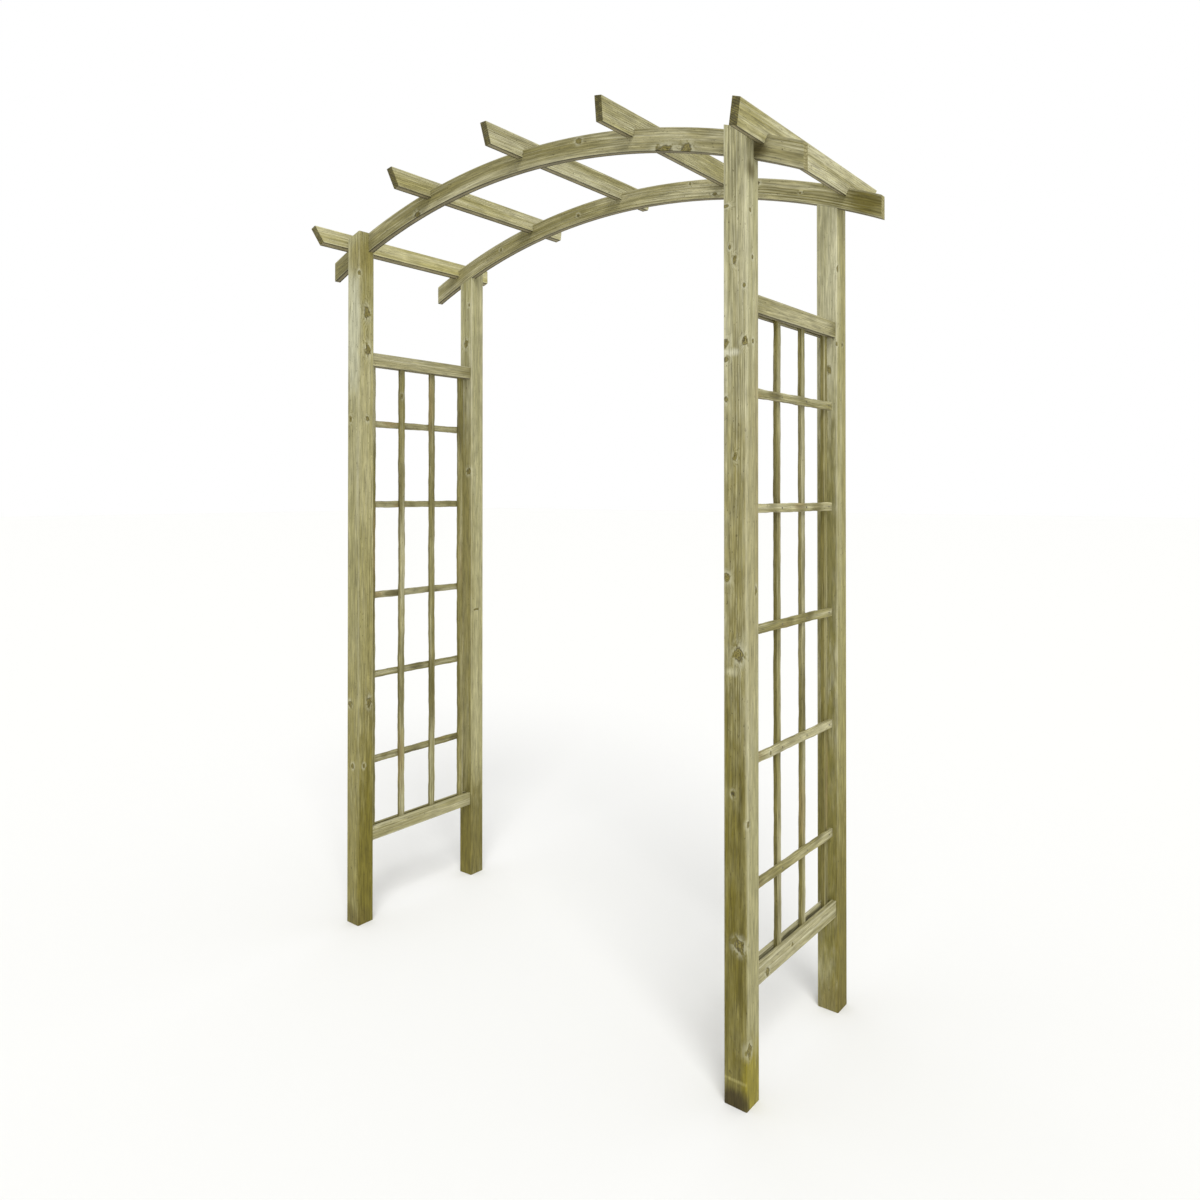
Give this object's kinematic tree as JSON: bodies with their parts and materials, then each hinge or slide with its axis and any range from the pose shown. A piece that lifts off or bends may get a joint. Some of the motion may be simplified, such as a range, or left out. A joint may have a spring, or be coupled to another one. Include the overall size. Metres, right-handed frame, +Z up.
{
  "type": "garden arch",
  "caption": "Timber garden arch: square posts, curved arch beams, raked rafters across the top and a lattice panel between the posts at each side.",
  "frame": {"origin": "on the ground, in the middle of the four posts", "axes": "+Z up, +X across the opening to the right-hand posts, +Y from the front to the back through the passage"},
  "size_m": [1.752, 0.784, 2.434],
  "materials": {
    "post_timber": "planed softwood, green pressure treated, matt",
    "beam_timber": "planed softwood, green pressure treated, matt",
    "rail_timber": "planed softwood, green pressure treated, matt",
    "lath_timber": "rough sawn softwood, green pressure treated, matt",
    "dowel_wood": "plain hardwood dowel",
    "fixing_steel": "zinc-plated, dull"
  },
  "bodies": {
    "root": {"front_left_post": "post_timber", "front_right_post": "post_timber", "back_left_post": "post_timber", "back_right_post": "post_timber", "front_arch_beam": "beam_timber", "back_arch_beam": "beam_timber", "rafter_1": "beam_timber", "rafter_2": "beam_timber", "rafter_3": "beam_timber", "rafter_4": "beam_timber", "rafter_5": "beam_timber", "left_bottom_rail": "rail_timber", "left_top_rail": "rail_timber", "right_bottom_rail": "rail_timber", "right_top_rail": "rail_timber", "left_upright_lath_1": "lath_timber", "left_upright_lath_2": "lath_timber", "left_upright_lath_3": "lath_timber", "left_upright_lath_4": "lath_timber", "right_upright_lath_1": "lath_timber", "right_upright_lath_2": "lath_timber", "right_upright_lath_3": "lath_timber", "right_upright_lath_4": "lath_timber", "left_level_lath_1": "lath_timber", "left_level_lath_2": "lath_timber", "left_level_lath_3": "lath_timber", "left_level_lath_4": "lath_timber", "left_level_lath_5": "lath_timber", "right_level_lath_1": "lath_timber", "right_level_lath_2": "lath_timber", "right_level_lath_3": "lath_timber", "right_level_lath_4": "lath_timber", "right_level_lath_5": "lath_timber", "arch_screws": "fixing_steel", "rafter_screws": "fixing_steel", "rail_dowels": "dowel_wood", "left_lath_nails": "fixing_steel", "right_lath_nails": "fixing_steel", "left_groove_pins": "fixing_steel", "right_groove_pins": "fixing_steel"}
  },
  "joints": []
}
